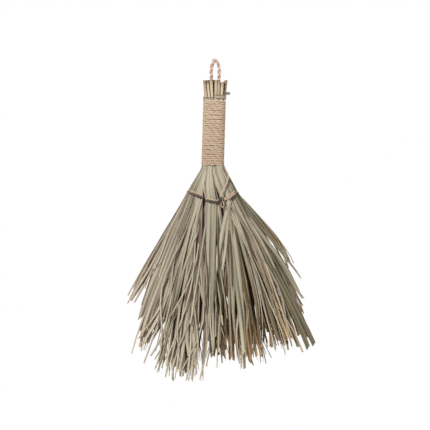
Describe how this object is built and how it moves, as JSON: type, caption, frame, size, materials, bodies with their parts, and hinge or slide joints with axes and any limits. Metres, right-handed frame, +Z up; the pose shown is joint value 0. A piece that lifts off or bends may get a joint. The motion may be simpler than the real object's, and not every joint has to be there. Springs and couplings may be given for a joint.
{
  "type": "palm leaf hand broom",
  "caption": "Flat hand broom of dried palm leaf: twine-wound stalk handle, a fan of split leaf blades tied in bundles, and a cord loop to hang it by.",
  "frame": {"origin": "underside of the top of the hanging loop, where a hook bears", "axes": "+Z up along the handle towards the loop, -Y out of the broom's front, +X to the right seen from the front"},
  "size_m": [0.2401, 0.0416, 0.4177],
  "materials": {
    "stalk": "dry leaf stalk, fibrous, matt, cut ends brown",
    "leaf": "dried palm leaf, grey-green to tan, lengthwise ribs, slight sheen",
    "leaf_strip": "flat strip of dried leaf, pale grey-green, slight sheen",
    "twine": "two-ply straw twine, matt, hairy",
    "dark_twine": "two-ply dark brown twine, matt",
    "cord": "two-ply twisted fibre cord, matt, frayed"
  },
  "bodies": {
    "handle": {"stalk_front_1": "stalk", "stalk_front_2": "stalk", "stalk_front_3": "stalk", "stalk_front_4": "stalk", "stalk_front_5": "stalk", "stalk_front_6": "stalk", "stalk_middle_1": "stalk", "stalk_middle_2": "stalk", "stalk_middle_3": "stalk", "stalk_middle_4": "stalk", "stalk_middle_5": "stalk", "stalk_back_1": "stalk", "stalk_back_2": "stalk", "stalk_back_3": "stalk", "stalk_back_4": "stalk", "stalk_back_5": "stalk", "stalk_back_6": "stalk", "handle_winding": "twine", "leaf_band": "leaf_strip", "leaf_band_end": "leaf_strip", "loop_tail_left": "cord", "loop_tail_right": "cord", "bridle_upper": "twine"},
    "loop": {"hanging_loop": "cord"},
    "fan": {"blade_front_1": "leaf", "blade_front_2": "leaf", "blade_front_3": "leaf", "blade_front_4": "leaf", "blade_front_5": "leaf", "blade_front_6": "leaf", "blade_middle_1": "leaf", "blade_middle_2": "leaf", "blade_middle_3": "leaf", "blade_middle_4": "leaf", "blade_middle_5": "leaf", "blade_back_1": "leaf", "blade_back_2": "leaf", "blade_back_3": "leaf", "blade_back_4": "leaf", "blade_back_5": "leaf", "blade_back_6": "leaf", "binding_twine_natural": "twine", "binding_twine_dark": "dark_twine", "stitch_left": "twine", "stitch_right": "twine", "binding_knot": "twine", "binding_bow": "twine", "bridle_lower": "twine"}
  },
  "joints": [
    {"name": "fan_flex", "type": "hinge", "parent": "handle", "child": "fan", "pos_m": [-0.004, 0, -0.14975], "axis": [1, 0, 0], "range_deg": [-30, 30], "stiffness_Nm_per_rad": 1.5},
    {"name": "loop_swing", "type": "hinge", "parent": "handle", "child": "loop", "pos_m": [-0.0006, 0, -0.0205], "axis": [1, 0, 0], "range_deg": [-80, 80], "stiffness_Nm_per_rad": 0.002}
  ]
}
